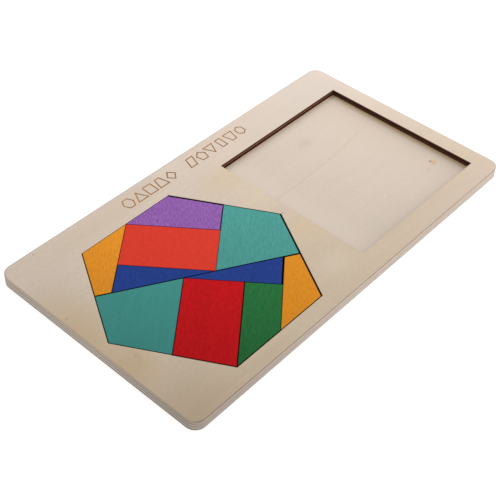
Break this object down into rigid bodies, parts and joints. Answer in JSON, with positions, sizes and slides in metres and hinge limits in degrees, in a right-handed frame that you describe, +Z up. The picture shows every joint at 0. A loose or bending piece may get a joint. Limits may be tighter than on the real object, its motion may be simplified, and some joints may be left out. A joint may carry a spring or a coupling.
{
  "type": "wooden brain teaser puzzle",
  "caption": "Flat plywood brain teaser tray: coloured angular pieces fill its hexagonal recess, and laid out another way they fill the empty square recess beside it.",
  "frame": {"origin": "centre of the tray's underside", "axes": "+X along the long side, from the hexagonal recess to the square one; +Y across the tray, towards the wide margin; +Z up, out of the recesses"},
  "size_m": [0.2152, 0.1186, 0.0058],
  "materials": {
    "base_plywood": "unvarnished pale plywood, fine faint grain",
    "frame_plywood": "unvarnished pale plywood, sanded outer edges, cut-out walls scorched dark brown",
    "amber_stain": "matt amber stain, scorched edges",
    "purple_stain": "matt purple stain, scorched edges",
    "scarlet_stain": "matt light red stain, scorched edges",
    "blue_stain": "matt dark blue stain, scorched edges",
    "teal_stain": "matt blue-green stain, scorched edges",
    "crimson_stain": "matt dark red stain, scorched edges",
    "green_stain": "matt dark green stain, scorched edges"
  },
  "bodies": {
    "root": {"base_board": "base_plywood", "frame_board": "frame_plywood", "amber_quad_left": "amber_stain", "purple_quad": "purple_stain", "scarlet_rectangle": "scarlet_stain", "blue_triangle_left": "blue_stain", "teal_quad_right": "teal_stain", "teal_quad_left": "teal_stain", "blue_triangle_right": "blue_stain", "amber_quad_right": "amber_stain", "crimson_quad": "crimson_stain", "green_quad": "green_stain"}
  },
  "joints": []
}
